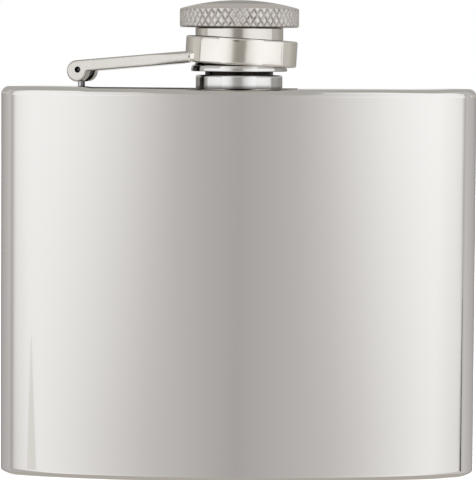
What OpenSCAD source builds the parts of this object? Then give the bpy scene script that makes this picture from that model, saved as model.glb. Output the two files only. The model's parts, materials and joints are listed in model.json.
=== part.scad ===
// Kidney-shaped pocket flask in polished sheet steel.
// A hinged arm carries a ring, and the screw cap turns freely in that ring.
// The origin is on the underside of the base, straight below the mouth.
// +X runs to the right along the front face, +Y to the hollow back, +Z up.

/* [Body] */
// Overall width of the body
body_w = 93; // [85:1:110]
// Height of the body without neck and cap
body_h = 76.1; // [60:0.1:120]
// Thickness from the front face to the hollow back
body_t = 18.6; // [16:0.1:24]
// Radius of the bowed front face
front_r = 120; // [110:1:180]
// Radius of the four upright corners
corner_r = 3.6; // [2.5:0.1:5]
// Radius of the rolled edge round the top and the base
edge_r = 1.5; // [1:0.1:2.2]
// Thickness of the steel sheet
sheet_t = 0.6; // [0.4:0.1:0.9]

/* [Neck] */
// Diameter of the collar at the foot of the neck
collar_d = 16.9; // [16:0.1:18]
// Height of the collar
collar_h = 2.5; // [2:0.1:2.8]
// Outside diameter of the threaded spout
thread_d = 13.3; // [12.6:0.1:13.4]
// Depth of the thread
thread_depth = 0.4; // [0.2:0.05:0.5]
// Distance from one turn of the thread to the next
thread_pitch = 1.25; // [1:0.05:1.5]
// Height of the spout above the top of the body
spout_h = 9.4; // [8.6:0.1:9.4]
// Diameter of the mouth
mouth_d = 10.4; // [8:0.1:11]

/* [Hinge] */
// Distance of the hinge to the left of the mouth
hinge_left = 30.5; // [29:0.1:33]
// Distance of the hinge behind the mouth
hinge_back = 5.6; // [5:0.1:6]
// Height of the hinge pin above the body
hinge_rise = 3.45; // [3.2:0.05:3.7]
// Angle by which the hinge is turned about the upright
hinge_turn = 20; // [16:1:22]
// Diameter of the two round ears
ear_d = 4.2; // [3.8:0.1:4.6]
// Distance by which the middle of the ears lies to the left of the pin
ear_back = 0.3; // [0:0.05:0.4]
// Distance by which the middle of the ears lies below the pin
ear_drop = 0.25; // [0:0.05:0.3]
// Width over both ears
fork_w = 6.4; // [5.6:0.1:7]
// Width of the slot between the ears
slot_w = 2.4; // [2:0.1:2.6]
// Diameter of the hinge pin
pin_d = 1.24; // [1:0.02:1.4]
// Diameter of the upright stem that carries the eye
stem_d = 1.4; // [1.2:0.1:1.8]
// Distance by which the stem stands to the left of the pin
stem_back = 0.5; // [0:0.1:0.6]

/* [Arm and ring] */
// Height of the arm
arm_h = 2.3; // [2:0.1:2.6]
// Angle at which the arm climbs from the hinge to the ring
arm_slope = 4.8; // [4:0.1:5.5]
// Outside diameter of the ring
ring_d = 21.7; // [21:0.1:22.4]
// Inside diameter of the ring
ring_bore_d = 18.3; // [18.2:0.1:18.4]
// Height of the ring
ring_h = 5.2; // [4.6:0.1:5.4]
// Height of the middle of the ring above the body
ring_rise = 7.15; // [7.1:0.05:7.3]
// Play of the ring towards the right of the cap
ring_play = 0.4; // [0.3:0.05:0.5]
// Tilt of the ring on the cap, right side down
ring_tilt = 3.2; // [0:0.1:3.5]

/* [Cap] */
// Diameter of the knurled head
cap_d = 23.2; // [22:0.1:26]
// Height of the knurled band
knurl_h = 3.7; // [3:0.1:5]
// Height of the domed top over the knurled band
dome_h = 1.6; // [1:0.1:2]
// Diameter of the smooth sleeve under the head
sleeve_d = 17.1; // [16.9:0.1:17.2]
// Height of the head's underside above the body
head_rise = 11.85; // [11.4:0.05:12.5]
// Diameter of the rim that keeps the ring on the sleeve
rim_d = 18.7; // [18.6:0.1:19]
// Gap between the rim and the collar of the neck
rim_gap = 0.8; // [0.5:0.1:0.9]
// Thickness of the sealing disc
seal_t = 1.2; // [0.8:0.1:1.3]

/* [Hidden] */
$fn = 96;
eps = 0.01;
// How far a cutting tool runs past the face it opens
cut_over = 1;

// Outline of the body: two arcs about one centre, closed by rounded ends.
// The core is the strip between the corner centres.
arc_centre_y = front_r - body_t / 2;
core_out = front_r - corner_r;
core_in = front_r - body_t + corner_r;
core_w = core_out - core_in;
end_angle = asin((body_w / 2 - corner_r) / core_out);
lid_inset = corner_r - edge_r;
outline_fn = 360;
past_middle = 1;

// Heights above the underside of the base
spout_top = body_h + spout_h;
hinge_z = body_h + hinge_rise;
ring_z = body_h + ring_rise;
rim_z = body_h + collar_h + rim_gap;
head_z = body_h + head_rise;

// Neck
lip_d = 12.8;
collar_round = 0.5;
relief_h = 1.3;
thread_top_gap = 0.9;

// Hinge
pin_recess = 0.6;
eye_d = 3.4;
eye_w = slot_w - 0.2;
eye_play = 0.05;
slot_reach = 2.7;
foot_d = 4.5;
foot_h = 0.15;

// Arm and ring
arm_bevel = 0.45;
ring_bevel = 0.35;
arm_len = 27;
ring_cut_h = 3 * ring_h;

// Cap
rim_top_d = 18.5;
rim_h = 1.1;
cone_h = 0.5;
seat_d = 16.2;
cap_play = 0.7;
cap_bore_d = thread_d + 2 * cap_play;
seal_play = 0.05;
seal_z = spout_top + seal_play;
seal_d = cap_bore_d - 0.2;
cap_edge = 0.22;
dome_d = cap_d - 2 * cap_edge;
dome_r = (pow(dome_d / 2, 2) + pow(dome_h, 2)) / (2 * dome_h);
dome_fn = 200;

// Carries a half profile round the right half of the body's outline.
// In the profile, x is the distance outwards from the core and y the height.
// With fill_h, the core itself is filled between fill_z and fill_z + fill_h.
// Everything is placed from the end plane, where the arcs meet the corners.
module around_right_half(fill_z, fill_h) {
    intersection() {
        translate([0, arc_centre_y, 0])
            rotate([0, 0, end_angle]) {
                rotate([0, 0, -90])
                    mirror([0, 1, 0])
                        rotate_extrude(angle = end_angle + past_middle, $fn = outline_fn) {
                            translate([core_out, 0])
                                children();
                            translate([core_in, 0])
                                mirror([1, 0])
                                    children();
                            if (fill_h > 0)
                                translate([core_in, fill_z])
                                    square([core_w, fill_h]);
                        }
                translate([0, -core_out, 0])
                    rotate([0, 0, -90])
                        rotate_extrude(angle = 90)
                            children();
                translate([0, -core_in, 0])
                    rotate_extrude(angle = 90)
                        children();
                translate([0, -core_in, 0])
                    rotate([90, 0, 0])
                        linear_extrude(core_w)
                            children();
            }
        translate([0, -front_r, -body_h])
            cube([body_w, 2 * front_r, 3 * body_h]);
    }
}

module around_body(fill_z = 0, fill_h = 0) {
    around_right_half(fill_z, fill_h)
        children();
    mirror([1, 0, 0])
        around_right_half(fill_z, fill_h)
            children();
}

// Half profile of a pressed cover: a flat sheet with a rolled edge
module cover_profile() {
    square([lid_inset, sheet_t]);
    translate([lid_inset, edge_r])
        intersection() {
            difference() {
                circle(edge_r);
                circle(edge_r - sheet_t);
            }
            translate([0, -edge_r])
                square(edge_r);
        }
}

module pressed_cover() {
    around_body(0, sheet_t)
        cover_profile();
}

module body_wall() {
    color("gainsboro")
        around_body()
            translate([corner_r - sheet_t, edge_r])
                square([sheet_t, body_h - 2 * edge_r]);
}

module base_cover() {
    color("silver")
        pressed_cover();
}

module top_cover() {
    color("silver")
        difference() {
            translate([0, 0, body_h])
                mirror([0, 0, 1])
                    pressed_cover();
            translate([0, 0, body_h - 2 * sheet_t])
                cylinder(d = lip_d, h = 3 * sheet_t);
        }
}

// Turned section with a bevel at both ends of its outer edge
module bevelled_disc(d, h, bevel) {
    rotate_extrude()
        polygon([
            [0, 0],
            [d / 2 - bevel, 0],
            [d / 2, bevel],
            [d / 2, h - bevel],
            [d / 2 - bevel, h],
            [0, h]
        ]);
}

// V-shaped groove of the thread, drawn as one closed turn
module thread_groove(d, depth) {
    rotate_extrude()
        translate([d / 2, 0])
            polygon([
                [-depth, 0],
                [eps, -thread_pitch / 2 + eps],
                [eps, thread_pitch / 2 - eps]
            ]);
}

module neck() {
    thread_start = body_h + collar_h + relief_h;
    turns = floor((spout_top - thread_top_gap - thread_start) / thread_pitch);
    color("lightgray")
        difference() {
            union() {
                translate([0, 0, body_h - sheet_t])
                    cylinder(d = lip_d, h = sheet_t + eps);
                translate([0, 0, body_h])
                    cylinder(d = collar_d, h = collar_h - collar_round);
                translate([0, 0, body_h + collar_h - collar_round])
                    cylinder(d1 = collar_d, d2 = collar_d - 2 * collar_round, h = collar_round);
                translate([0, 0, body_h + collar_h - eps])
                    cylinder(d = thread_d, h = spout_h - collar_h + eps);
            }
            for (turn = [0 : turns])
                translate([0, 0, thread_start + turn * thread_pitch])
                    thread_groove(thread_d, thread_depth);
            translate([0, 0, body_h - 2 * sheet_t])
                cylinder(d = mouth_d, h = spout_h + 3 * sheet_t);
        }
}

// Puts x along the arm, y along the hinge pin and z up, from the pin's middle
module at_hinge() {
    translate([-hinge_left, hinge_back, hinge_z])
        rotate([0, 0, -hinge_turn])
            children();
}

module along_pin(d, w) {
    rotate([90, 0, 0])
        cylinder(d = d, h = w, center = true);
}

module hinge_post() {
    color("darkgray")
        at_hinge()
            difference() {
                union() {
                    along_pin(eye_d, eye_w);
                    translate([-stem_back, 0, -hinge_rise]) {
                        cylinder(d = stem_d, h = hinge_rise);
                        cylinder(d = foot_d, h = foot_h);
                    }
                }
                along_pin(pin_d + 2 * eye_play, 2 * eye_w);
            }
}

module hinge_pin() {
    color("dimgray")
        at_hinge()
            along_pin(pin_d, fork_w - 2 * pin_recess);
}

// Places the ring's own frame, with z along its axis
module at_ring() {
    translate([ring_play, 0, ring_z])
        rotate([0, ring_tilt, 0])
            children();
}

module arm_bar() {
    rotate([0, -arm_slope, 0])
        rotate([90, 0, 90])
            linear_extrude(arm_len)
                translate([0, ear_d / 2 - arm_h / 2])
                    polygon([
                        [-fork_w / 2 + arm_bevel, -arm_h / 2],
                        [fork_w / 2 - arm_bevel, -arm_h / 2],
                        [fork_w / 2, -arm_h / 2 + arm_bevel],
                        [fork_w / 2, arm_h / 2 - arm_bevel],
                        [fork_w / 2 - arm_bevel, arm_h / 2],
                        [-fork_w / 2 + arm_bevel, arm_h / 2],
                        [-fork_w / 2, arm_h / 2 - arm_bevel],
                        [-fork_w / 2, -arm_h / 2 + arm_bevel]
                    ]);
}

module arm() {
    color("gainsboro")
        difference() {
            at_hinge()
                difference() {
                    translate([-ear_back, 0, -ear_drop]) {
                        along_pin(ear_d, fork_w);
                        arm_bar();
                    }
                    translate([-ear_d, -slot_w / 2, -ear_d])
                        cube([ear_d + slot_reach, slot_w, 2 * ear_d]);
                    along_pin(pin_d, 2 * fork_w);
                }
            at_ring()
                cylinder(d = ring_d, h = ring_cut_h, center = true);
        }
}

module captive_ring() {
    color("gainsboro")
        at_ring()
            difference() {
                translate([0, 0, -ring_h / 2])
                    bevelled_disc(ring_d, ring_h, ring_bevel);
                cylinder(d = ring_bore_d, h = 2 * ring_h, center = true);
            }
}

module cap_head() {
    bore_h = seal_z + seal_t - rim_z;
    turns = floor((bore_h - seal_t - 2 * thread_top_gap) / thread_pitch);
    color("silver")
        difference() {
            union() {
                translate([0, 0, rim_z])
                    cylinder(d = seat_d, h = rim_h + cone_h + eps);
                translate([0, 0, rim_z + rim_h + cone_h])
                    cylinder(d = sleeve_d, h = head_z - rim_z - rim_h - cone_h + eps);
                translate([0, 0, head_z])
                    bevelled_disc(cap_d, knurl_h, cap_edge);
                intersection() {
                    translate([0, 0, head_z + knurl_h + dome_h - dome_r])
                        sphere(r = dome_r, $fn = dome_fn);
                    translate([0, 0, head_z + knurl_h - cap_edge])
                        cylinder(d = dome_d, h = 2 * dome_h);
                }
            }
            translate([0, 0, rim_z - cut_over])
                cylinder(d = cap_bore_d, h = bore_h + cut_over);
            for (turn = [0 : turns])
                translate([0, 0, rim_z + thread_top_gap + turn * thread_pitch])
                    rotate_extrude()
                        translate([cap_bore_d / 2, 0])
                            polygon([
                                [thread_depth, 0],
                                [-eps, thread_pitch / 2 - eps],
                                [-eps, -thread_pitch / 2 + eps]
                            ]);
        }
}

// Rim pressed on the foot of the sleeve, which keeps the ring from slipping off
module cap_collar() {
    color("lightgray")
        translate([0, 0, rim_z])
            difference() {
                union() {
                    cylinder(d1 = rim_d, d2 = rim_top_d, h = rim_h);
                    translate([0, 0, rim_h])
                        cylinder(d1 = rim_top_d, d2 = sleeve_d, h = cone_h);
                }
                translate([0, 0, -cut_over])
                    cylinder(d = seat_d, h = rim_h + cone_h + 2 * cut_over);
            }
}

module cap_seal() {
    color("dimgray")
        translate([0, 0, seal_z])
            cylinder(d = seal_d, h = seal_t);
}

body_wall();
top_cover();
base_cover();
neck();
hinge_post();
hinge_pin();
arm();
captive_ring();
cap_head();
cap_collar();
cap_seal();
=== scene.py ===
import json
import math

import bmesh
import bpy
from mathutils import Matrix, Vector, noise


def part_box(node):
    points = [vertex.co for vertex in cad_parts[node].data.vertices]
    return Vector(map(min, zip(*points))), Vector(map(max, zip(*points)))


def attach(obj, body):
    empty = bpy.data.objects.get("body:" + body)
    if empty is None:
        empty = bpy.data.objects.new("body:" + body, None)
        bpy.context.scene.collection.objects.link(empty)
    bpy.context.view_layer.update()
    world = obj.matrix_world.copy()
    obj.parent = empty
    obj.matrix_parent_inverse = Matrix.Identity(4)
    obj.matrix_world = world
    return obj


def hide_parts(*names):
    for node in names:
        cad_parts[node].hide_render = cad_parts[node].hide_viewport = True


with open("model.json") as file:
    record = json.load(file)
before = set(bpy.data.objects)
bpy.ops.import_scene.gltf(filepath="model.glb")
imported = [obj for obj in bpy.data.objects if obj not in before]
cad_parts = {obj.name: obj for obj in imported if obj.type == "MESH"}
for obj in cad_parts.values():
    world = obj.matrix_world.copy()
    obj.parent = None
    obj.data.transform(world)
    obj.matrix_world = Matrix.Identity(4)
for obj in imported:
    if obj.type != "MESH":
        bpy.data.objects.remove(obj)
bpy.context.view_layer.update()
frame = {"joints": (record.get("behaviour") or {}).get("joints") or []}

MM = 0.001

# The body's plan, in millimetres: two arcs about one centre, closed by rounded ends.
FRONT_R = 120.0
BODY_T = 18.6
CORNER_R = 3.6
EDGE_R = 1.5
SHEET_T = 0.6
ARC_CENTRE_Y = FRONT_R - BODY_T / 2

WALL_LOW, WALL_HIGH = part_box("body_wall")
BODY_W = (WALL_HIGH.x - WALL_LOW.x) / MM
BODY_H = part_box("top_cover")[1].z / MM
CORE_OUT = FRONT_R - CORNER_R
CORE_IN = FRONT_R - BODY_T + CORNER_R
END_ANGLE = math.asin((BODY_W / 2 - CORNER_R) / CORE_OUT)

# Heights and radii of the neck and the cap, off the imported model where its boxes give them.
# The collar's shoulder is 0.12 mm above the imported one.
NECK_LOW, NECK_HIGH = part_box("neck")
HEAD_LOW, HEAD_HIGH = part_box("cap_head")
RIM_LOW, RIM_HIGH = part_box("cap_collar")
SEAL_LOW, SEAL_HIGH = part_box("cap_seal")
COLLAR_R = (NECK_HIGH.x - NECK_LOW.x) / 2 / MM
SPOUT_TOP = NECK_HIGH.z / MM
CAP_R = (HEAD_HIGH.x - HEAD_LOW.x) / 2 / MM
CAP_TOP = HEAD_HIGH.z / MM
RIM_R = (RIM_HIGH.x - RIM_LOW.x) / 2 / MM
RIM_Z = RIM_LOW.z / MM
COLLAR_TOP = BODY_H + 2.62
SPOUT_R = 6.65
MOUTH_R = 5.2
LIP_R = 6.4
THREAD_PITCH = 1.25
THREAD_DEPTH = 0.4
RELIEF_H = 1.3
SLEEVE_R = 8.55
SEAT_R = 8.1
RIM_TOP_R = 9.25
RIM_H = 1.1
CONE_H = 0.5
CAP_BORE_R = 7.35
KNURL_H = 3.7
DOME_H = 1.6
CAP_EDGE = 0.22
HEAD_Z = CAP_TOP - DOME_H - KNURL_H

# The hinge's place and directions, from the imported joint, and the sizes of the hinge, arm and ring
SWING = next(j for j in frame["joints"] if j["name"] == "arm_swing")
HINGE = Vector(SWING["pos_m"]) / MM
PIN_DIR = -Vector(SWING["axis"])
HINGE_TURN = math.atan2(PIN_DIR.x, PIN_DIR.y)
EAR_R = 2.1
EAR_BACK = 0.3
EAR_DROP = 0.25
FORK_W = 6.4
SLOT_W = 2.4
PIN_R = 0.62
EYE_R = 1.7
STEM_R = 0.7
STEM_BACK = 0.5
ARM_H = 2.3
ARM_SLOPE = math.radians(4.8)
RING_R = 10.85
RING_BORE_R = 9.15
RING_H = 5.2
RING_TILT = math.radians(3.2)
RING_CENTRE = Vector((0.4, 0.0, BODY_H + 7.15))
STEM_FOOT = HINGE - STEM_BACK * Vector((math.cos(HINGE_TURN), -math.sin(HINGE_TURN), 0))


# ---------------------------------------------------------------- mesh tools

def make_object(name, verts, faces, body, sharp_deg=35.0):
    """One smooth mesh from millimetre points, riding on a body."""
    mesh = bpy.data.meshes.new(name)
    mesh.from_pydata([Vector(v) * MM for v in verts], [], faces)
    mesh.validate()
    bm = bmesh.new()
    bm.from_mesh(mesh)
    bmesh.ops.recalc_face_normals(bm, faces=bm.faces)
    bm.to_mesh(mesh)
    bm.free()
    obj = bpy.data.objects.new(name, mesh)
    bpy.context.scene.collection.objects.link(obj)
    smooth(obj, sharp_deg)
    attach(obj, body)
    return obj


def smooth(obj, sharp_deg=35.0):
    obj.data.shade_smooth()
    obj.data.set_sharp_from_angle(angle=math.radians(sharp_deg))


def ring_faces(count, rows, closed_rows=False):
    """Quads between rows of points that each run once round."""
    faces = []
    last = rows if closed_rows else rows - 1
    for row in range(last):
        low = row * count
        high = ((row + 1) % rows) * count
        for i in range(count):
            j = (i + 1) % count
            faces.append((low + i, low + j, high + j, high + i))
    return faces


def arc(cx, cz, r, start_deg, end_deg, steps):
    """Points of an arc in the profile plane."""
    points = []
    for i in range(steps + 1):
        a = math.radians(start_deg + (end_deg - start_deg) * i / steps)
        points.append((cx + r * math.cos(a), cz + r * math.sin(a)))
    return points


def subdivide(points, step):
    """The same open profile with extra points, no further apart than step."""
    out = [points[0]]
    for (r0, z0), (r1, z1) in zip(points, points[1:]):
        count = max(1, math.ceil(math.hypot(r1 - r0, z1 - z0) / step))
        for i in range(1, count + 1):
            out.append((r0 + (r1 - r0) * i / count, z0 + (z1 - z0) * i / count))
    return out


def braced(profile, gap=0.02, longest=0.25):
    """The same closed profile with a point close to each end of its long stretches,
    so that smooth shading stays straight along them."""
    out = []
    for (r0, z0), (r1, z1) in zip(profile, profile[1:] + profile[:1]):
        out.append((r0, z0))
        length = math.hypot(r1 - r0, z1 - z0)
        if length > longest:
            for t in (gap / length, 1 - gap / length):
                out.append((r0 + (r1 - r0) * t, z0 + (z1 - z0) * t))
    return out


def lathe(profile, segments, radius_at=None):
    """Points and faces of a closed profile turned about the z axis.

    radius_at(r, z, angle) may change a point's radius, for a thread or a knurl.
    """
    profile = braced(profile)
    verts = []
    rings = []
    for r, z in profile:
        if r < 1e-6:
            rings.append([len(verts)])
            verts.append((0.0, 0.0, z))
            continue
        ring = []
        for i in range(segments):
            angle = 2 * math.pi * i / segments
            radius = radius_at(r, z, angle) if radius_at else r
            ring.append(len(verts))
            verts.append((radius * math.cos(angle), radius * math.sin(angle), z))
        rings.append(ring)
    faces = []
    for low, high in zip(rings, rings[1:] + rings[:1]):
        for i in range(segments):
            j = (i + 1) % segments
            corners = [low[i % len(low)], low[j % len(low)], high[j % len(high)], high[i % len(high)]]
            distinct = list(dict.fromkeys(corners))
            if len(distinct) > 2:
                faces.append(tuple(distinct))
    return verts, faces


def moved(verts, matrix):
    return [matrix @ Vector(v) for v in verts]


def in_hinge_frame():
    """From x along the arm, y along the pin, z up, to the shared frame."""
    return Matrix.Translation(HINGE) @ Matrix.Rotation(-HINGE_TURN, 4, "Z")


def in_ring_frame():
    return Matrix.Translation(RING_CENTRE) @ Matrix.Rotation(RING_TILT, 4, "Y")


def boolean(obj, cutter, operation):
    mod = obj.modifiers.new("cut", "BOOLEAN")
    mod.operation = operation
    mod.solver = "EXACT"
    mod.object = cutter
    apply_modifiers(obj)
    bpy.data.objects.remove(cutter)


def shade_and_tint_at_points(obj, amount):
    """Store at each point how dark its colour is made, from 0 to 1: painted shade and painted reflections,
    and in places a braze tint round joints.
    """
    layer = obj.data.attributes.new("shade_and_tint", "FLOAT", "POINT")
    for i, vert in enumerate(obj.data.vertices):
        x, y, z = vert.co / MM
        layer.data[i].value = amount(x, y, z)


def shade_and_tint_at_faces(obj, amount):
    """The same for each face, from its middle."""
    layer = obj.data.attributes.new("shade_and_tint", "FLOAT", "FACE")
    for i, face in enumerate(obj.data.polygons):
        layer.data[i].value = amount(face.center / MM)


def apply_modifiers(obj):
    graph = bpy.context.evaluated_depsgraph_get()
    mesh = bpy.data.meshes.new_from_object(obj.evaluated_get(graph))
    obj.modifiers.clear()
    obj.data = mesh


# ---------------------------------------------------------------- body

ARC_STEPS = 220
CORNER_STEPS = 24
SIDE_STEPS = 8


def outline(inset=0.0):
    """The body's plan, moved inwards by inset, as (x, y, normal x, normal y)."""
    points = []

    def stretch(cx, cy, r, start, end, steps, inwards=1):
        for i in range(steps):
            a = start + (end - start) * i / steps
            nx, ny = math.sin(a), -math.cos(a)
            points.append((cx + r * nx, cy + r * ny, inwards * nx, inwards * ny))

    def side(sign):
        a = sign * END_ANGLE
        reach = CORNER_R - inset
        nx, ny = sign * math.cos(a), sign * math.sin(a)
        ends = [CORE_OUT, CORE_IN] if sign > 0 else [CORE_IN, CORE_OUT]
        for i in range(SIDE_STEPS):
            rho = ends[0] + (ends[1] - ends[0]) * i / SIDE_STEPS
            x = rho * math.sin(a) + reach * nx
            y = ARC_CENTRE_Y - rho * math.cos(a) + reach * ny
            points.append((x, y, nx, ny))

    def corner(sign, core, start, end):
        cx = sign * core * math.sin(END_ANGLE)
        cy = ARC_CENTRE_Y - core * math.cos(END_ANGLE)
        stretch(cx, cy, CORNER_R - inset, start, end, CORNER_STEPS)

    quarter = math.pi / 2
    stretch(0, ARC_CENTRE_Y, FRONT_R - inset, -END_ANGLE, END_ANGLE, ARC_STEPS)
    corner(1, CORE_OUT, END_ANGLE, END_ANGLE + quarter)
    side(1)
    corner(1, CORE_IN, END_ANGLE + quarter, END_ANGLE + 2 * quarter)
    stretch(0, ARC_CENTRE_Y, FRONT_R - BODY_T + inset, END_ANGLE, -END_ANGLE, ARC_STEPS, -1)
    corner(-1, CORE_IN, -END_ANGLE - 2 * quarter, -END_ANGLE - quarter)
    side(-1)
    corner(-1, CORE_OUT, -END_ANGLE - quarter, -END_ANGLE)
    return points


def press_marks(x, y, z):
    """How far the pressed sheet stands off its true surface, in millimetres."""
    low = (z - EDGE_R) / (BODY_H - 2 * EDGE_R)
    fade = math.sin(math.pi * low) ** 0.5 if 0 < low < 1 else 0.0
    fade *= min(1.0, max(0.0, (43 - abs(x)) / 10))
    wave = noise.noise(Vector((x / 19, y / 19, z / 27 + 3.1)))
    slow = noise.noise(Vector((x / 44 + 7.7, y / 44, z / 60)))
    return (0.004 * wave + 0.014 * slow - 0.012) * fade


def body_wall():
    rows = 40
    outer = outline()
    inner = outline(SHEET_T)
    count = len(outer)
    verts = []
    for row in range(rows + 1):
        z = EDGE_R + (BODY_H - 2 * EDGE_R) * row / rows
        for x, y, nx, ny in outer:
            off = press_marks(x, y, z)
            verts.append((x + off * nx, y + off * ny, z))
    for z in (BODY_H - EDGE_R, EDGE_R):
        verts.extend((x, y, z) for x, y, _, _ in inner)
    faces = ring_faces(count, rows + 3, closed_rows=True)
    obj = make_object("body_sleeve", verts, faces, "flask")
    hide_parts("body_wall")
    return obj


def cover(name, node, top):
    """A pressed cover with a rolled edge, flat inside it; top has the neck's hole."""
    steps = 20
    flat_step = 0.25

    def z_of(height):
        return BODY_H - height if top else height

    def ring(inset, height):
        near_face = max(0.0, 1 - height / EDGE_R)
        lift = end_lift if top else base_lift
        return [(x, y, z_of(height) + lift(x) * near_face) for x, y, _, _ in outline(inset)]

    count = len(outline())
    verts = []
    for i in range(steps + 1):
        a = math.pi / 2 * i / steps
        verts += ring(EDGE_R * (1 - math.cos(a)), EDGE_R * (1 - math.sin(a)))
    verts += ring(EDGE_R + flat_step, 0.0)
    outside_rows = steps + 2
    verts += ring(EDGE_R + flat_step, SHEET_T)
    inner_r = EDGE_R - SHEET_T
    for i in range(steps + 1):
        a = math.pi / 2 * (1 - i / steps)
        verts += ring(SHEET_T + inner_r * (1 - math.cos(a)), SHEET_T + inner_r * (1 - math.sin(a)))
    rows = outside_rows + steps + 2
    faces = ring_faces(count, outside_rows)
    inside = [tuple(v + outside_rows * count for v in f) for f in ring_faces(count, rows - outside_rows)]
    faces += inside
    last = (rows - 1) * count
    faces += [(last + i, last + (i + 1) % count, (i + 1) % count, i) for i in range(count)]

    bm = bmesh.new()
    bm_verts = [bm.verts.new(Vector(v) * MM) for v in verts]
    for f in faces:
        bm.faces.new([bm_verts[i] for i in f])
    hole = 96
    hole_rings = []
    for row in (outside_rows - 1, outside_rows):
        edges = []
        start = row * count
        for i in range(count):
            edges.append(bm.edges.get((bm_verts[start + i], bm_verts[start + (i + 1) % count])))
        if top:
            height = 0.0 if row == outside_rows - 1 else SHEET_T
            circle = []
            for i in range(hole):
                a = 2 * math.pi * i / hole
                place = Vector((LIP_R * math.cos(a), LIP_R * math.sin(a), z_of(height)))
                circle.append(bm.verts.new(place * MM))
            edges += [bm.edges.new((circle[i], circle[(i + 1) % hole])) for i in range(hole)]
            hole_rings.append(circle)
        bmesh.ops.triangle_fill(bm, use_beauty=True, use_dissolve=False, edges=edges)
    if top:
        upper, lower = hole_rings
        for i in range(hole):
            j = (i + 1) % hole
            bm.faces.new((upper[i], upper[j], lower[j], lower[i]))
    bmesh.ops.recalc_face_normals(bm, faces=bm.faces)
    mesh = bpy.data.meshes.new(name)
    bm.to_mesh(mesh)
    bm.free()
    obj = bpy.data.objects.new(name, mesh)
    bpy.context.scene.collection.objects.link(obj)
    smooth(obj)
    shade_and_tint_at_points(obj, top_tint_and_painted_shade if top else lambda x, y, z: 0.0)
    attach(obj, "flask")
    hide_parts(node)
    return obj


def ease(value, low, high):
    """A smooth step from 0 at low to 1 at high."""
    t = min(1.0, max(0.0, (value - low) / (high - low)))
    return t * t * (3 - 2 * t)


def plateau(value, rise, full, fade, gone):
    """0, a smooth step up to 1 from rise to full, and a smooth step down again from fade to gone."""
    return ease(value, rise, full) * (1 - ease(value, fade, gone))


def end_lift(x):
    """How far the top stands up at its two ends, where the pressing has not sunk it."""
    dip = math.exp(-((x - 34.5) / 5.0) ** 2)
    return 0.16 * ease(-x, 29.0, 31.0) + 0.14 * ease(x, 38.0, 43.0) - 0.05 * dip


def base_lift(x):
    """How far the base curls up towards its two ends."""
    middle = 0.05 if x < 0 else 0.14
    return middle * ease(abs(x), 38.0, 43.0) + 0.36 * ease(abs(x), 43.0, 45.8)


# Along x: painted shade that dims the start of the rolled edge, the same both sides, and the painted dark
# reflection line on the crest
CORNER_SHADE_X = (43.75, 44.0, 45.1, 45.4)
CREST_LINE_X = (-29.2, -28.6, -2.0, 3.0)


def top_tint_and_painted_shade(x, y, z):
    """Painted shade with a braze tint round the foot of the neck, a heat tint round the foot of the hinge's
    stem, painted shade that dims the start of the rolled edge at the two front corners, and a painted dark
    reflection line on the front's crest."""
    rise = z - (BODY_H - EDGE_R)
    if rise < -0.001:
        return 0.0
    # Painted shade dims the mirrored light at the start of the rolled edge
    corner = 0.0
    if y < 1.5 and rise < 0.4:
        corner = 0.45 * plateau(abs(x), *CORNER_SHADE_X) * (1 - ease(rise, 0.25, 0.4))
    # Painted shade with a braze tint round the neck's foot
    neck = 0.85 * (1 - ease(math.hypot(x, y), COLLAR_R + 0.05, COLLAR_R + 0.55))
    near_stem = math.hypot(x - STEM_FOOT.x, y - STEM_FOOT.y)
    on_front = math.hypot(x, y - ARC_CENTRE_Y) > FRONT_R - EDGE_R - 0.1
    # A painted dark reflection line along the front's crest
    line = 0.0
    if on_front and abs(z - BODY_H) < 0.2:
        line = 0.8 * plateau(x, *CREST_LINE_X) * ease(z, BODY_H - 0.19, BODY_H - 0.05)
    return max(neck, line, corner, 0.35 * (1 - ease(near_stem, 2.3, 3.0)))


# ---------------------------------------------------------------- neck and cap

def thread(z, angle, start, end):
    """Depth of a right-hand thread at a height and angle, from 0 to 1."""
    if not start < z < end:
        return 0.0
    turn = (z / THREAD_PITCH - angle / (2 * math.pi)) % 1.0
    groove = min(1.0, max(0.0, 1.25 - 3.2 * abs(turn - 0.5)))
    run_in = min(1.0, (z - start) / 0.5, (end - z) / 0.5)
    return groove * max(0.0, run_in)


def painted_left_streak(x, y, start_deg, end_deg):
    """A painted dark reflection streak down the left of a turned part, between two angles from the front.
    """
    deg = math.degrees(math.atan2(x, -y))
    soft = 1.2
    return 0.95 * plateau(deg, start_deg - soft, start_deg, end_deg, end_deg + soft)


def painted_right_shade(x, y):
    """Painted shade: the right flank of a turned part darkened, dimming the light it mirrors."""
    return 0.33 * ease(math.degrees(math.atan2(x, -y)), 44.0, 48.0)


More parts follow.
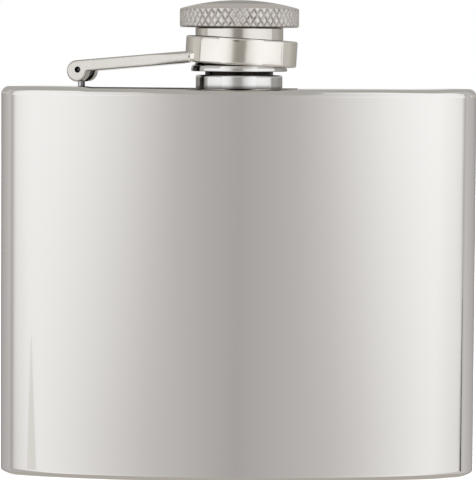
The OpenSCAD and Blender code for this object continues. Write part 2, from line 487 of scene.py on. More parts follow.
def neck():
    round_r = 0.45
    profile = [(MOUTH_R, BODY_H - SHEET_T), (LIP_R, BODY_H - SHEET_T), (LIP_R, BODY_H)]
    profile += subdivide([(COLLAR_R, BODY_H), (COLLAR_R, COLLAR_TOP - round_r - 0.02)], 0.2)
    profile += arc(COLLAR_R - round_r, COLLAR_TOP - round_r, round_r, 0, 90, 8)
    chamfer = 0.35
    profile += subdivide([(SPOUT_R, COLLAR_TOP), (SPOUT_R, SPOUT_TOP - chamfer)], 0.08)
    profile += [(SPOUT_R - chamfer, SPOUT_TOP)]
    profile += arc(MOUTH_R + 0.2, SPOUT_TOP - 0.2, 0.2, 90, 180, 4)
    start = COLLAR_TOP + RELIEF_H - 0.6
    end = SPOUT_TOP - 0.3

    def radius_at(r, z, angle):
        if abs(r - SPOUT_R) > 1e-6:
            return r
        return r - THREAD_DEPTH * thread(z, angle, start, end)

    verts, faces = lathe(profile, 192, radius_at)
    obj = make_object("neck_spout", verts, faces, "flask")

    def amount(x, y, z):
        if z < COLLAR_TOP - round_r - 0.01:
            # Painted shade with a braze tint at the neck's foot, and painted reflections down its flanks
            foot = 0.8 * (1 - ease(z, BODY_H, BODY_H + 0.9))
            return max(foot, painted_left_streak(x, y, -64.5, -53.0), painted_right_shade(x, y))
        # Painted shade along the collar's top edge, and down the spout in the gap under the cap
        if math.hypot(x, y) > SPOUT_R + 0.02:
            return 0.95 * ease(z, COLLAR_TOP - 0.13, COLLAR_TOP - 0.02)
        return max(0.25, 1.0 - max(0.0, z - COLLAR_TOP - 1.0) / 0.8)

    shade_and_tint_at_points(obj, amount)
    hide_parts("neck")
    return obj


# The fillet under the cap's head, the painted shade on its sleeve, and the upright part of the rim's side
SLEEVE_FILLET = 0.32
SLEEVE_SHADE = 0.12
RIM_UPRIGHT = 0.6
# The knurl: grooves each way, how far one climbs over one spacing, their depth, and how much
# of the spacing is left as land
KNURLS = 52
KNURL_RISE = 2.15
KNURL_DEPTH = 0.36
KNURL_LAND = 0.60


def knurl(z, angle):
    """Depth of the crossed grooves at a height and angle, from 0 on a land to 1."""
    around = KNURLS * angle / (2 * math.pi)
    climb = (z - HEAD_Z - KNURL_H + 0.3) / KNURL_RISE
    place = Vector((math.cos(angle) * CAP_R, math.sin(angle) * CAP_R, z))
    wander = 0.10 * noise.noise(place * 0.9)
    depth = 0.0
    for line, seed in ((around + climb, 3.0), (around - climb, 40.0)):
        near = abs(((line + wander) % 1.0) - 0.5) * 2
        wear = 0.78 + 0.42 * noise.noise(place * 0.7 + Vector((seed, seed, seed)))
        groove = max(0.0, (near - KNURL_LAND) / (1 - KNURL_LAND))
        depth = max(depth, groove * min(1.0, max(0.25, wear)))
    return depth


def cap_head():
    band_low = HEAD_Z + CAP_EDGE
    band_high = HEAD_Z + KNURL_H - CAP_EDGE
    dome_edge = CAP_R - CAP_EDGE
    dome_r = (dome_edge ** 2 + DOME_H ** 2) / (2 * DOME_H)
    dome_deg = math.degrees(math.asin(dome_edge / dome_r))
    profile = [(CAP_BORE_R + 0.3, RIM_Z), (SEAT_R, RIM_Z), (SEAT_R, RIM_Z + RIM_H + CONE_H)]
    profile += [(SLEEVE_R, RIM_Z + RIM_H + CONE_H), (SLEEVE_R, HEAD_Z - SLEEVE_FILLET)]
    profile += arc(SLEEVE_R + SLEEVE_FILLET, HEAD_Z - SLEEVE_FILLET, SLEEVE_FILLET, 180, 90, 6)[1:]
    profile += [(CAP_R - CAP_EDGE - KNURL_DEPTH * 0.5, HEAD_Z)]
    rows = 38
    profile += [(CAP_R - CAP_EDGE * 0.9, HEAD_Z + 0.02)]
    profile += [(CAP_R, band_low + (band_high - band_low) * i / rows) for i in range(rows + 1)]
    profile += [(CAP_R - CAP_EDGE * 0.7, HEAD_Z + KNURL_H - 0.06)]
    dome_z = HEAD_Z + KNURL_H + DOME_H - dome_r
    profile += arc(0, dome_z, dome_r, 90 - dome_deg, 90, 22)[:-1]
    profile += [(0.0, CAP_TOP)]
    inside_top = SEAL_HIGH.z / MM
    profile += [(0.0, inside_top), (CAP_BORE_R, inside_top)]
    profile += subdivide([(CAP_BORE_R, inside_top - 1.3), (CAP_BORE_R, RIM_Z + 0.3)], 0.12)
    bore_start = RIM_Z + 0.35
    bore_end = inside_top - 1.3

    def radius_at(r, z, angle):
        if abs(r - CAP_R) < 1e-6:
            edge = min(1.0, (z - band_low + 0.05) / 0.3, (band_high + 0.05 - z) / 0.3)
            return r - KNURL_DEPTH * knurl(z, angle) * max(0.25, edge)
        if abs(r - CAP_BORE_R) < 1e-6:
            return r + THREAD_DEPTH * thread(z, angle, bore_start, bore_end)
        return r

    verts, faces = lathe(profile, KNURLS * 12, radius_at)
    obj = make_object("cap_knob", verts, faces, "cap", sharp_deg=50)

    def amount(x, y, z):
        r = math.hypot(x, y)
        # Painted shade in the fillet under the head, inside the bore, and on the sleeve, with a painted
        # reflection streak down its left
        if r > SLEEVE_R - 0.01 and HEAD_Z - SLEEVE_FILLET + 0.01 < z < HEAD_Z + 0.04:
            return 0.92
        if r < CAP_BORE_R + 0.5:
            return 0.4
        if z < HEAD_Z - 0.25:
            return SLEEVE_SHADE + 0.22 * painted_left_streak(x, y, -90, -59)
        # Painted shade in the knurl's grooves
        if not band_low - 0.03 < z < band_high + 0.03 or r < CAP_R - KNURL_DEPTH - 0.1:
            return 0.0
        return 0.7 * knurl(z, math.atan2(y, x)) ** 1.3

    shade_and_tint_at_points(obj, amount)
    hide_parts("cap_head")
    return obj


def cap_collar():
    soft = 0.12
    profile = [(SEAT_R, RIM_Z)]
    profile += arc(RIM_R - soft, RIM_Z + soft, soft, -90, 0, 5)
    profile += [(RIM_R, RIM_Z + RIM_UPRIGHT)]
    profile += arc(RIM_TOP_R - soft, RIM_Z + RIM_H - soft, soft, 25, 50, 3)
    profile += [(SLEEVE_R + 0.1, RIM_Z + RIM_H + CONE_H - 0.05), (SEAT_R, RIM_Z + RIM_H + CONE_H)]
    verts, faces = lathe(profile, 288)
    obj = make_object("cap_rim", verts, faces, "cap")
    # Painted reflections on the rim: a dark streak down its left and painted shade on its right flank
    shade_and_tint_at_points(obj, lambda x, y, z: max(painted_left_streak(x, y, -73, -55.5), painted_right_shade(x, y)))
    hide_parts("cap_collar")
    return obj


def cap_seal():
    low, high = SEAL_LOW.z / MM, SEAL_HIGH.z / MM
    radius = SEAL_HIGH.x / MM
    soft = 0.15
    profile = [(0.0, low), (MOUTH_R - 0.4, low), (MOUTH_R - 0.2, low + 0.12), (SPOUT_R + 0.2, low + 0.12)]
    profile += arc(radius - soft, low + soft, soft, -90, 0, 4)
    profile += arc(radius - soft, high - soft, soft, 0, 90, 4)
    profile += [(0.0, high)]
    verts, faces = lathe(profile, 96)
    obj = make_object("seal_disc", verts, faces, "cap")
    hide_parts("cap_seal")
    return obj


# Small dark marks on the ring's front: x and z of the middle, length, height, darkness. The one at the top
# is a painted reflection of the camera's lens; the rest darken spots and thin lines
RING_DARK_MARKS = [(-1.1, 2.0, 0.9, 0.12, 0.75), (-1.7, -2.35, 1.3, 0.10, 0.5), (0.6, -2.45, 1.6, 0.08, 0.45),
         (-7.9, -0.3, 0.12, 2.3, 0.35), (-7.75, 2.0, 0.25, 0.4, 0.35), (7.75, 0.0, 0.10, 2.4, 0.35)]


def spot(point, x, z, length, height):
    """1 inside an oval mark on the front of the ring, fading to 0 at its edge."""
    if point.y > 0:
        return 0.0
    far = math.hypot((point.x - x) / length, (point.z - z) / height)
    return 1 - ease(far, 0.5, 1.2)


def captive_ring():
    soft = 0.38
    low, high = -RING_H / 2, RING_H / 2
    profile = arc(RING_BORE_R + 0.15, low + 0.15, 0.15, 180, 270, 4)
    profile += arc(RING_R - soft, low + soft, soft, -90, 0, 10)
    profile += subdivide([(RING_R, low + soft), (RING_R, high - soft)], 0.15)[1:-1]
    profile += arc(RING_R - soft, high - soft, soft, 0, 90, 10)
    profile += arc(RING_BORE_R + 0.15, high - 0.15, 0.15, 90, 180, 4)
    verts, faces = lathe(profile, 480)
    obj = make_object("swivel_ring", moved(verts, in_ring_frame()), faces, "arm")
    to_ring = in_ring_frame().inverted()

    def amount(x, y, z):
        local = to_ring @ Vector((x, y, z))
        if math.hypot(local.x, local.y) < RING_R - soft:
            return 0.0
        # Darker where a mark lies; the top mark is a painted reflection
        return max(spot(local, *dark_mark[:4]) * dark_mark[4] for dark_mark in RING_DARK_MARKS)

    shade_and_tint_at_points(obj, amount)
    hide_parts("captive_ring")
    return obj


# ---------------------------------------------------------------- arm and hinge

# Where the bar ends, from the hinge; where the bead starts, its length, and how far it stands out
ARM_END = 24.5
BEAD_X = 24.0
BEAD_LONG = 1.7
BEAD_OUT = 0.42


def on_slope():
    """From along and across the sloping bar to the hinge's frame."""
    return Matrix.Translation((-EAR_BACK, 0, -EAR_DROP)) @ Matrix.Rotation(-ARM_SLOPE, 4, "Y")


def cut_ring_away(obj):
    """Take away what lies inside the ring's outside, but for a hair that joins them."""
    r = RING_R - 0.02
    reach = 9
    verts, faces = lathe([(0, -reach), (r, -reach), (r, reach), (0, reach)], 288)
    boolean(obj, plain("ring_cut", moved(verts, in_ring_frame()), faces), "DIFFERENCE")


def arm_outline():
    """The arm seen along the pin: a round ear running into a straight bar."""
    points = []
    corner_r = 0.45
    low = EAR_R - ARM_H
    ear_low = math.degrees(math.asin((low - corner_r) / (EAR_R + corner_r)))
    corner_x = (EAR_R + corner_r) * math.cos(math.radians(ear_low))
    bar_steps = 40
    for i in range(bar_steps + 1):
        points.append((ARM_END * (1 - i / bar_steps), EAR_R))
    points += arc(0, 0, EAR_R, 90, 360 + ear_low, 56)[1:]
    points += arc(corner_x, low - corner_r, corner_r, 180 + ear_low, 90, 8)[1:]
    for i in range(1, bar_steps + 1):
        points.append((corner_x + (ARM_END - corner_x) * i / bar_steps, low))
    return points


def arm_bevel(x):
    """The bar's edges grow rounder over its last stretch, next to the ring."""
    t = min(1.0, max(0.0, (x - 15.0) / 6.0))
    return 0.42 + 0.45 * t * t * (3 - 2 * t)


def arm():
    points = arm_outline()
    count = len(points)
    normals = []
    for i in range(count):
        (x0, z0), (x1, z1) = points[i - 1], points[(i + 1) % count]
        length = math.hypot(x1 - x0, z1 - z0)
        normals.append((-(z1 - z0) / length, (x1 - x0) / length))
    half = FORK_W / 2
    steps = 7
    gap = 0.02
    verts = []
    slope = on_slope()
    quarter = [(math.pi / 2 * i / steps, 0.0, 0.0) for i in range(steps + 1)]
    edge = [(0.0, gap, 0.0)] + quarter + [(math.pi / 2, 0.0, gap)]
    rows = [(-1, *row) for row in edge] + [(1, *row) for row in reversed(edge)]
    for side, a, face_gap, side_gap in rows:
        for (x, z), (nx, nz) in zip(points, normals):
            b = arm_bevel(x)
            inwards = b * (1 - math.sin(a)) + face_gap
            y = side * (half - b * (1 - math.cos(a)) - side_gap)
            verts.append(slope @ Vector((x + inwards * nx, y, z + inwards * nz)))
    faces = ring_faces(count, len(rows))
    faces.append(tuple(range(count)))
    faces.append(tuple((len(rows) - 1) * count + i for i in reversed(range(count))))
    obj = make_object("hinge_arm", moved(verts, in_hinge_frame()), faces, "arm", sharp_deg=40)
    slot_cut = block("slot_cut", (-2 * EAR_R, -SLOT_W / 2, -2 * EAR_R), (2.7, SLOT_W / 2, 2 * EAR_R))
    boolean(obj, slot_cut, "DIFFERENCE")
    boolean(obj, rod("pin_cut", PIN_R, 2 * FORK_W), "DIFFERENCE")
    cut_ring_away(obj)
    smooth(obj, 40)
    to_hinge = in_hinge_frame().inverted()

    def amount(center):
        local = to_hinge @ center
        # Painted shade inside the slot and the pin's hole
        in_slot = abs(local.y) < SLOT_W / 2 + 0.01
        in_hole = math.hypot(local.x, local.z) < PIN_R
        return 0.85 if in_slot or in_hole else 0.0

    shade_and_tint_at_faces(obj, amount)
    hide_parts("arm")
    return obj


def braze_bead():
    """The bright bead of braze in the front corner between the arm and the ring."""
    levels = 24
    half_h = ARM_H / 2 - 0.14
    middle_z = EAR_R - ARM_H / 2
    front = -FORK_W / 2 - 0.02
    verts = []
    for i in range(levels + 1):
        w = -1 + 2 * i / levels
        back = 0.45 * ease(abs(w), 0.55, 1.0)
        z = middle_z + half_h * w
        verts.append((BEAD_X, front + back, z))
        verts.append((BEAD_X + BEAD_LONG, front - BEAD_OUT + back, z))
        verts.append((BEAD_X + BEAD_LONG, front + 1.2, z))
        verts.append((BEAD_X, front + 1.2, z))
    faces = ring_faces(4, levels + 1)
    faces.append((3, 2, 1, 0))
    faces.append(tuple(4 * levels + i for i in range(4)))
    place = in_hinge_frame() @ on_slope()
    obj = make_object("braze_bead", moved(verts, place), faces, "arm", sharp_deg=40)
    cut_ring_away(obj)
    smooth(obj, 40)
    return obj


def plain(name, verts, faces):
    """A helper solid for cutting, not part of the object."""
    mesh = bpy.data.meshes.new(name)
    mesh.from_pydata([Vector(v) * MM for v in verts], [], faces)
    bm = bmesh.new()
    bm.from_mesh(mesh)
    bmesh.ops.recalc_face_normals(bm, faces=bm.faces)
    bm.to_mesh(mesh)
    bm.free()
    obj = bpy.data.objects.new(name, mesh)
    bpy.context.scene.collection.objects.link(obj)
    return obj


def block(name, low, high):
    """A box in the hinge's frame."""
    verts = [(x, y, z) for x in (low[0], high[0]) for y in (low[1], high[1]) for z in (low[2], high[2])]
    faces = [(0, 1, 3, 2), (4, 6, 7, 5), (0, 4, 5, 1), (2, 3, 7, 6), (0, 2, 6, 4), (1, 5, 7, 3)]
    return plain(name, moved(verts, in_hinge_frame()), faces)


def rod(name, r, length):
    """A rod along the pin, about the pin's middle."""
    verts, faces = lathe([(0, -length / 2), (r, -length / 2), (r, length / 2), (0, length / 2)], 48)
    return plain(name, moved(verts, in_hinge_frame() @ Matrix.Rotation(math.pi / 2, 4, "X")), faces)


def hinge_post():
    half = (SLOT_W - 0.2) / 2
    soft = 0.25
    rise = HINGE.z - BODY_H
    eye = [(0, -half)]
    eye += arc(EYE_R - soft, -half + soft, soft, -90, 0, 6)
    eye += arc(EYE_R - soft, half - soft, soft, 0, 90, 6)
    eye += [(0, half)]
    verts, faces = lathe(eye, 64)
    turn = Matrix.Rotation(math.pi / 2, 4, "X")
    obj = make_object("hinge_stem", moved(verts, in_hinge_frame() @ turn), faces, "flask")
    foot_h = 0.05
    fillet_r = 0.3
    stem = [(0, -rise), (2.25, -rise), (1.9, -rise + foot_h)]
    stem += arc(STEM_R + fillet_r, -rise + foot_h + fillet_r, fillet_r, 270, 180, 8)
    stem += [(STEM_R, 0), (0, 0)]
    verts, faces = lathe(stem, 64)
    beside = Matrix.Translation((-STEM_BACK, 0, 0))
    boolean(obj, plain("stem_part", moved(verts, in_hinge_frame() @ beside), faces), "UNION")
    boolean(obj, rod("eye_cut", PIN_R + 0.05, 2 * FORK_W), "DIFFERENCE")
    smooth(obj, 40)
    to_hinge = in_hinge_frame().inverted()

    def amount(center):
        local = to_hinge @ center
        # Painted shade on the eye in the slot, on the upper stem and down its right side; a heat tint on
        # the foot
        high = ease(local.z, -2.2, -1.4)
        right = ease(local.x + STEM_BACK, -0.1, 0.5)
        on_foot = center.z < BODY_H + 0.12
        return 0.3 if on_foot else max(0.25 + 0.7 * high, 0.3 + 0.55 * right)

    shade_and_tint_at_faces(obj, amount)
    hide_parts("hinge_post")
    return obj


def hinge_pin():
    half = FORK_W / 2 - 0.6
    profile = [(0, -half), (PIN_R * 0.55, -half), (PIN_R - 0.02, -half + 0.14)]
    profile += [(PIN_R - 0.02, half - 0.14), (PIN_R * 0.55, half), (0, half)]
    verts, faces = lathe(profile, 40)
    turn = Matrix.Rotation(math.pi / 2, 4, "X")
    obj = make_object("rivet_pin", moved(verts, in_hinge_frame() @ turn), faces, "arm")
    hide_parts("hinge_pin")
    return obj


# ---------------------------------------------------------------- materials

def new_material(name, color, roughness, metallic=1.0):
    mat = bpy.data.materials.new(name)
    mat.use_nodes = True
    shader = mat.node_tree.nodes["Principled BSDF"]
    shader.inputs["Base Color"].default_value = (*color, 1)
    shader.inputs["Metallic"].default_value = metallic
    shader.inputs["Roughness"].default_value = roughness
    return mat, shader


def node(mat, kind, **values):
    n = mat.node_tree.nodes.new(kind)
    for key, value in values.items():
        if key in n.inputs:
            n.inputs[key].default_value = value
        else:
            setattr(n, key, value)
    return n


def link(mat, source, target):
    mat.node_tree.links.new(source, target)


def object_coords(mat, scale):
    """Object coordinates in millimetres, stretched by scale along each axis."""
    coords = node(mat, "ShaderNodeTexCoord")
    mapping = node(mat, "ShaderNodeMapping")
    mapping.inputs["Scale"].default_value = [s / MM for s in scale]
    link(mat, coords.outputs["Object"], mapping.inputs["Vector"])
    return mapping.outputs["Vector"]


def noise_between(mat, vector, low, high):
    """Noise mapped to the range from low to high."""
    tex = node(mat, "ShaderNodeTexNoise", Scale=1.0, Detail=3.0)
    link(mat, vector, tex.inputs["Vector"])
    spread = node(mat, "ShaderNodeMapRange")
    spread.inputs["From Min"].default_value = 0.3
    spread.inputs["From Max"].default_value = 0.7
    spread.inputs["To Min"].default_value = low
    spread.inputs["To Max"].default_value = high
    link(mat, tex.outputs["Fac"], spread.inputs["Value"])
    return spread.outputs["Result"]


def add_bump(mat, shader, height, distance_mm):
    bump = node(mat, "ShaderNodeBump", Strength=1.0, Distance=distance_mm * MM)
    link(mat, height, bump.inputs["Height"])
    link(mat, bump.outputs["Normal"], shader.inputs["Normal"])


def darken_with_shade_and_tint(mat, shader, clean, dark=(0.045, 0.04, 0.033)):
    """Darken the steel where its mesh says so: painted shade and painted reflections, and in places a braze
    tint round joints.
    """
    layer = node(mat, "ShaderNodeAttribute", attribute_name="shade_and_tint")
    tint = node(mat, "ShaderNodeMix", data_type="RGBA")
    tint.inputs["A"].default_value = (*clean, 1)
    tint.inputs["B"].default_value = (*dark, 1)
    link(mat, layer.outputs["Fac"], tint.inputs["Factor"])
    link(mat, tint.outputs["Result"], shader.inputs["Base Color"])


def mirror_steel():
    """Buffed sheet steel: a near mirror with a breath of haze and fine polishing lines."""
    clean = (0.875, 0.86, 0.84)
    mat, shader = new_material("buffed_sheet", clean, 0.03)
    darken_with_shade_and_tint(mat, shader, clean)
    haze = noise_between(mat, object_coords(mat, (0.05, 0.05, 0.05)), 0.02, 0.05)
    link(mat, haze, shader.inputs["Roughness"])
    lines = noise_between(mat, object_coords(mat, (0.5, 0.5, 7.0)), 0.0, 1.0)
    add_bump(mat, shader, lines, 0.0001)
    return mat


def polished_steel():
    """Hand-finished bar and ring: bright, a little warm, with faint file waviness."""
    clean = (0.935, 0.905, 0.86)
    mat, shader = new_material("polished_bar", clean, 0.06)
    darken_with_shade_and_tint(mat, shader, clean)
    haze = noise_between(mat, object_coords(mat, (0.5, 0.5, 0.5)), 0.04, 0.10)
    link(mat, haze, shader.inputs["Roughness"])
    waves = noise_between(mat, object_coords(mat, (0.4, 0.4, 0.4)), 0.0, 1.0)
    add_bump(mat, shader, waves, 0.003)
    return mat


def satin_bar():
    """The same bar steel, left satin, with peening marks and a darker tone."""
    clean = (0.74, 0.715, 0.675)
    mat, shader = new_material("satin_bar", clean, 0.16)
    darken_with_shade_and_tint(mat, shader, clean)
    haze = noise_between(mat, object_coords(mat, (0.8, 0.8, 0.8)), 0.12, 0.20)
    link(mat, haze, shader.inputs["Roughness"])
    dents = noise_between(mat, object_coords(mat, (1.1, 1.1, 1.1)), 0.0, 1.0)
    add_bump(mat, shader, dents, 0.008)
    return mat


def turned_steel():
    """Lathe-turned steel with fine rings round the axis."""
    clean = (0.865, 0.87, 0.865)
    mat, shader = new_material("turned_bar", clean, 0.08)
    darken_with_shade_and_tint(mat, shader, clean, dark=(0.014, 0.012, 0.010))
    rings = noise_between(mat, object_coords(mat, (0.05, 0.05, 14.0)), 0.0, 1.0)
    add_bump(mat, shader, rings, 0.0006)
    return mat


def satin_nickel():
    """Satin-plated knob with a soft grain; the sleeve under it is polished."""
    clean = (0.90, 0.87, 0.83)
    mat, shader = new_material("satin_plate", clean, 0.30)
    darken_with_shade_and_tint(mat, shader, clean, dark=(0.14, 0.125, 0.105))
    place = node(mat, "ShaderNodeTexCoord")
    split = node(mat, "ShaderNodeSeparateXYZ")
    link(mat, place.outputs["Object"], split.inputs[0])
    is_head = node(mat, "ShaderNodeMapRange")
    is_head.inputs["From Min"].default_value = (HEAD_Z - 0.05) * MM
    is_head.inputs["From Max"].default_value = HEAD_Z * MM
    is_head.inputs["To Min"].default_value = 0.10
    is_head.inputs["To Max"].default_value = 1.0
    link(mat, split.outputs["Z"], is_head.inputs["Value"])
    grain = noise_between(mat, object_coords(mat, (6, 6, 6)), 0.24, 0.36)
    rough = node(mat, "ShaderNodeMath", operation="MULTIPLY")
    link(mat, grain, rough.inputs[0])
    link(mat, is_head.outputs["Result"], rough.inputs[1])
    rough_floor = node(mat, "ShaderNodeMath", operation="MAXIMUM")
    rough_floor.inputs[1].default_value = 0.06
    link(mat, rough.outputs[0], rough_floor.inputs[0])
    link(mat, rough_floor.outputs[0], shader.inputs["Roughness"])
    return mat


def pin_steel():
    mat, shader = new_material("dark_pin", (0.10, 0.095, 0.09), 0.45)
    rough = noise_between(mat, object_coords(mat, (8, 8, 8)), 0.3, 0.6)
    link(mat, rough, shader.inputs["Roughness"])
    return mat


def seal_rubber():
    mat, shader = new_material("black_rubber", (0.03, 0.03, 0.03), 0.6, metallic=0.0)
    rough = noise_between(mat, object_coords(mat, (10, 10, 10)), 0.5, 0.75)
    link(mat, rough, shader.inputs["Roughness"])
    return mat


# ---------------------------------------------------------------- stage

# How bright the studio is round the steel, as (degrees from straight ahead, light):
# just above the horizon and well below it, to the left and to the right.
HIGH_LEFT = [(0, .434), (6, .47), (12, .535), (18, .67), (24, .80), (31, .915), (37, .975), (43, .995),
             (45.5, .94), (46.6, .85), (46.97, .77), (47.06, .49), (49, .49), (53, .55), (57, .575),
             (65, .58), (81, .52), (97, .485), (118, .43), (131, .39), (150, .33), (166, .33),
             (174, .43), (180, .43)]
HIGH_RIGHT = [(0, .434), (6, .47), (12, .53), (18, .645), (25, .80), (31, .925), (37, 1.0), (41, 1.03),
              (44, .965), (45.4, .92), (46.6, .86), (46.75, .50), (48.5, .50), (53, .58), (65, .54),
              (81, .53), (97, .50), (118, .45), (131, .40), (150, .33), (166, .33), (174, .43), (180, .43)]
LOW_LEFT = [(0, .423), (6, .475), (12, .53), (18, .585), (24, .675), (31, .78), (37, .87), (41, .92),
            (43.5, .90), (45.5, .80), (46.8, .70), (46.97, .65), (47.06, .44), (49, .44), (53, .51),
            (57, .53), (65, .52), (81, .49), (97, .47), (118, .44), (131, .40), (150, .36), (180, .31)]
LOW_RIGHT = [(0, .423), (6, .47), (12.5, .515), (19, .575), (25, .665), (31, .775), (37.5, .90), (41, .93),
             (44, .86), (45.4, .82), (46.7, .79), (46.8, .60), (48.5, .58), (53, .60), (65, .57),
             (81, .53), (97, .50), (118, .46), (131, .41), (150, .36), (180, .31)]


def world_light():
    """Studio surroundings: white to the camera, and to the steel a front that
    brightens from its middle towards two white sides, with grey beyond them,
    grey overhead and a warm grey table below."""
    world = bpy.data.worlds.new("studio")
    bpy.context.scene.world = world
    world.use_nodes = True
    tree = world.node_tree
    background = tree.nodes["Background"]

    def make(kind, **values):
        n = tree.nodes.new(kind)
        for key, value in values.items():
            setattr(n, key, value)
        return n

    def feed(value, socket):
        if isinstance(value, (int, float)):
            socket.default_value = value
        else:
            tree.links.new(value, socket)

    def calc(operation, a, b=0.0):
        n = make("ShaderNodeMath", operation=operation)
        feed(a, n.inputs[0])
        feed(b, n.inputs[1])
        return n.outputs[0]

    def span(value, low, high, to_low=0.0, to_high=1.0):
        n = make("ShaderNodeMapRange")
        for socket, number in (("Value", value), ("From Min", low), ("From Max", high),
                               ("To Min", to_low), ("To Max", to_high)):
            feed(number, n.inputs[socket])
        return n.outputs["Result"]

    def blend(factor, a, b):
        n = make("ShaderNodeMix", data_type="RGBA")
        tree.links.new(factor, n.inputs["Factor"])
        for socket, value in ((n.inputs["A"], a), (n.inputs["B"], b)):
            if isinstance(value, tuple):
                socket.default_value = (*value, 1)
            else:
                tree.links.new(value, socket)
        return n.outputs["Result"]

    coords = make("ShaderNodeTexCoord")
    split = make("ShaderNodeSeparateXYZ")
    tree.links.new(coords.outputs["Generated"], split.inputs[0])
    x, y, z = split.outputs

    # The ramps run with the angle from straight ahead, and spread out towards the ceiling
    side = calc("ARCTAN2", calc("ABSOLUTE", x), calc("MULTIPLY", y, -1.0))
    up = calc("MAXIMUM", z, 0.0)
    narrowing = calc("SUBTRACT", 1.0, calc("MULTIPLY", 0.37, calc("MULTIPLY", up, up)))
    turn = calc("MULTIPLY", calc("DIVIDE", side, math.pi), narrowing)
    on_right = calc("GREATER_THAN", x, 0.0)

    def ramp(stops):
        n = make("ShaderNodeValToRGB")
        elements = n.color_ramp.elements
        for deg, light in stops:
            element = elements.new(deg / 180)
            element.color = warm_grey(light)
        elements.remove(elements[0])
        elements.remove(elements[-1])
        tree.links.new(turn, n.inputs["Fac"])
        return n.outputs["Color"]

    high = blend(on_right, ramp(HIGH_LEFT), ramp(HIGH_RIGHT))
    low = blend(on_right, ramp(LOW_LEFT), ramp(LOW_RIGHT))

    # The surround, the ceiling that starts higher ahead than behind, and the table below
    front = blend(span(z, -0.02, -0.12), high, low)
    left_low = calc("MULTIPLY", span(turn, 11 / 180, 21 / 180, 0.42, 0.77), calc("SUBTRACT", 1.0, on_right))
    right_low = calc("MULTIPLY", span(turn, 12 / 180, 20 / 180, 0.38, 0.90), on_right)
    ceiling_low = span(y, -0.1, 0.8, calc("ADD", left_low, right_low), 0.04)
    above = calc("DIVIDE", calc("SUBTRACT", z, ceiling_low), 0.06)
    above = calc("MINIMUM", calc("MAXIMUM", above, 0.0), 1.0)
    room = blend(above, front, (0.45, 0.435, 0.415))
    room = blend(span(z, -0.66, -0.76), room, (0.46, 0.435, 0.40))
    path = make("ShaderNodeLightPath")
    room = blend(path.outputs["Is Camera Ray"], room, (1.0, 1.0, 1.0))
    tree.links.new(room, background.inputs["Color"])


def warm_grey(light):
    """A grey that is warmer the darker it is."""
    shade = max(0.0, 1.0 - light)
    return (light * (1 + 0.03 * shade), light * (1 - 0.09 * shade ** 2), light * (1 - 0.075 * shade), 1)


# The near light seen by the neck, the ring and the cap, as (degrees from straight ahead, light).
# Its half width and depth in metres, its rows as (height, how bright its left tail is there), and
# where that tail starts.
NEAR_LEFT = [(0, .30), (8, .31), (13, .37), (17, .55), (21, .76), (26, .88), (32, .96), (48, 1.01),
             (67, .97), (88, .89), (89, .55), (99, .57), (109, .60), (121, .49), (135, .39), (154, .27)]
NEAR_RIGHT = [(0, .30), (5, .32), (8, .43), (11, .66), (15, .79), (22, .90), (32, .99), (48, 1.02),
              (67, .98), (91, .87), (92, .54), (111, .54), (127, .42), (150, .36), (154, .35)]
NEAR_WIDE = 0.10
NEAR_DEEP = 0.30
NEAR_ROWS = [(0.0746, 0.66), (0.0790, 0.66), (0.0805, 1.0), (0.0935, 1.0)]
SIDE_DEG = 92


def stage_card(name, verts, faces, color):
    """A card that only the steel sees. Its light is a colour, or its corners' own."""
    mesh = bpy.data.meshes.new(name)
    mesh.from_pydata(verts, [], faces)
    obj = bpy.data.objects.new(name, mesh)
    bpy.context.scene.collection.objects.link(obj)
    mat = bpy.data.materials.new(name)
    mat.use_nodes = True
    tree = mat.node_tree
    tree.nodes.clear()
    glow = tree.nodes.new("ShaderNodeEmission")
    out = tree.nodes.new("ShaderNodeOutputMaterial")
    tree.links.new(glow.outputs[0], out.inputs["Surface"])
    if len(color) == 3:
        glow.inputs["Color"].default_value = (*color, 1)
    else:
        layer = mesh.color_attributes.new("light", "FLOAT_COLOR", "POINT")
        for i, shade in enumerate(color):
            layer.data[i].color = shade
        paint = tree.nodes.new("ShaderNodeAttribute")
        paint.attribute_name = "light"
        tree.links.new(paint.outputs["Color"], glow.inputs["Color"])
    mesh.materials.append(mat)
    obj.visible_camera = False
    obj.visible_shadow = False
    obj.visible_diffuse = False


def near_light():
    """A low oval light round the object: grey straight ahead, white at the sides, and
    grey again past them, where its lowest part on the left is darker still."""
    verts = []
    shades = []
    reach = NEAR_LEFT[-1][0]
    steps = 2 * reach
    for z, low_factor in NEAR_ROWS:
        for i in range(steps + 1):
            deg = i - reach
            light = between(NEAR_LEFT if deg < 0 else NEAR_RIGHT, abs(deg))
            if deg < -SIDE_DEG:
                light *= low_factor
            a = math.radians(deg)
            far = 1 / math.hypot(math.sin(a) / NEAR_WIDE, math.cos(a) / NEAR_DEEP)
            verts.append((far * math.sin(a), -far * math.cos(a), z))
            warmth = max(0.0, 1.0 - light)
            tint = (1 + 0.03 * warmth, 1 - 0.045 * warmth, 1 - 0.17 * warmth)
            shades.append((*(light * part for part in tint), 1))
    count = steps + 1
    faces = []
    for row in range(len(NEAR_ROWS) - 1):
        low = row * count
        faces += [(low + i, low + i + 1, low + count + i + 1, low + count + i) for i in range(steps)]
    stage_card("near_light", verts, faces, shades)


def between(stops, value):
    """The light at a value, straight between the stops either side of it."""
    for (a, low), (b, high) in zip(stops, stops[1:]):
        if value <= b:
            return low + (high - low) * (value - a) / (b - a)
    return stops[-1][1]


CAMERA_PLACE = Vector((0.0, -0.615, 0.0823))
CAMERA_PITCH = math.radians(3.328)
CAMERA_ROLL = math.radians(0.38)


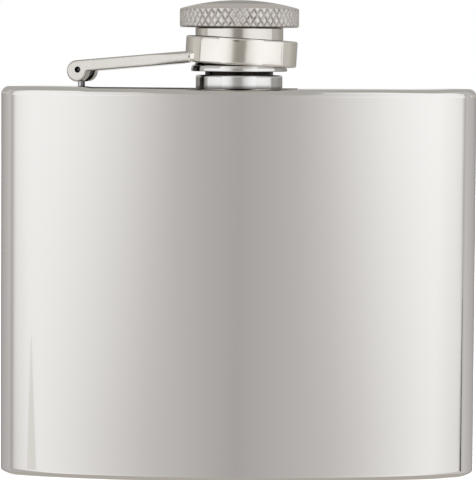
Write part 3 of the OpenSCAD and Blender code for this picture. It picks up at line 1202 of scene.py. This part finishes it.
def seen_in_front(x, z, reach):
    """The point in the studio that the camera sees mirrored at (x, z) on the front, reach away."""
    a = math.asin(x / FRONT_R)
    normal = Vector((math.sin(a), -math.cos(a), 0))
    point = Vector((x, ARC_CENTRE_Y - FRONT_R * math.cos(a), z)) * MM
    ray = (point - CAMERA_PLACE).normalized()
    return point + ray.reflect(normal) * reach


def reflection_cards():
    """Cards that only the steel sees, set so that the front mirrors a pale spike and dark lines low at its
    two sides, and a dark card far behind, which the flat top mirrors as a painted dark reflection line."""
    reach = 0.5
    spike = [seen_in_front(x, z, reach) for x, z in ((-40.0, 29.0), (-41.05, -2.0), (-38.95, -2.0))]
    stage_card("side_stand", spike, [(0, 1, 2)], (0.765, 0.75, 0.725))
    low = ((43.84, 36.0), (44.22, 36.0), (44.40, -2.0), (43.62, -2.0))
    stand = [seen_in_front(x, z, reach) for x, z in low]
    stage_card("side_edge", stand, [(0, 1, 2, 3)], (0.04, 0.035, 0.028))
    high = ((43.92, 62.0), (44.14, 62.0), (44.22, 36.0), (43.84, 36.0))
    stem = [seen_in_front(x, z, reach) for x, z in high]
    stage_card("side_stem", stem, [(0, 1, 2, 3)], (0.27, 0.255, 0.22))
    far = [(-0.078, 1.0, 0.077), (0.03, 1.0, 0.077), (0.03, 1.0, 0.155), (-0.078, 1.0, 0.155)]
    stage_card("far_edge", far, [(0, 1, 2, 3)], (0.035, 0.03, 0.025))


def floor():
    size = 6.0
    mesh = bpy.data.meshes.new("floor")
    corners = [(-size, -size, 0), (size, -size, 0), (size, size, 0), (-size, size, 0)]
    mesh.from_pydata(corners, [], [(0, 1, 2, 3)])
    obj = bpy.data.objects.new("floor", mesh)
    bpy.context.scene.collection.objects.link(obj)
    mat, shader = new_material("pale_floor", (0.93, 0.93, 0.93), 0.9, metallic=0.0)
    shader.inputs["Emission Color"].default_value = (1.0, 1.0, 1.0, 1.0)
    shader.inputs["Emission Strength"].default_value = 0.85
    mesh.materials.append(mat)
    obj.visible_glossy = False


def top_light():
    """A broad soft light overhead for the floor and the satin parts."""
    data = bpy.data.lights.new("overhead", "AREA")
    data.shape = "DISK"
    data.size = 3.0
    data.energy = 75
    obj = bpy.data.objects.new("overhead", data)
    obj.location = (0, 0, 1.9)
    obj.visible_glossy = False
    obj.visible_camera = False
    bpy.context.scene.collection.objects.link(obj)


def camera():
    """The camera stands level with the cap and looks slightly down."""
    data = bpy.data.cameras.new("camera")
    data.sensor_fit = "HORIZONTAL"
    data.sensor_width = 36.0
    data.lens = 238.6
    obj = bpy.data.objects.new("camera", data)
    obj.location = CAMERA_PLACE
    look = Matrix.Rotation(math.pi / 2 - CAMERA_PITCH, 4, "X") @ Matrix.Rotation(CAMERA_ROLL, 4, "Z")
    obj.matrix_world = Matrix.Translation(obj.location) @ look
    bpy.context.scene.collection.objects.link(obj)
    bpy.context.scene.camera = obj


def dress(obj, mat):
    obj.data.materials.clear()
    obj.data.materials.append(mat)


def main():
    camera()
    bpy.context.scene.view_settings.view_transform = "Standard"
    sheet = mirror_steel()
    bar = polished_steel()
    turned = turned_steel()
    dress(body_wall(), sheet)
    dress(cover("upper_cover", "top_cover", True), sheet)
    dress(cover("lower_cover", "base_cover", False), sheet)
    dress(arm(), satin_bar())
    dress(captive_ring(), bar)
    dress(braze_bead(), bar)
    for piece in (neck(), cap_collar(), hinge_post()):
        dress(piece, turned)
    dress(cap_head(), satin_nickel())
    dress(cap_seal(), seal_rubber())
    dress(hinge_pin(), pin_steel())
    world_light()
    near_light()
    reflection_cards()
    floor()
    top_light()


main()
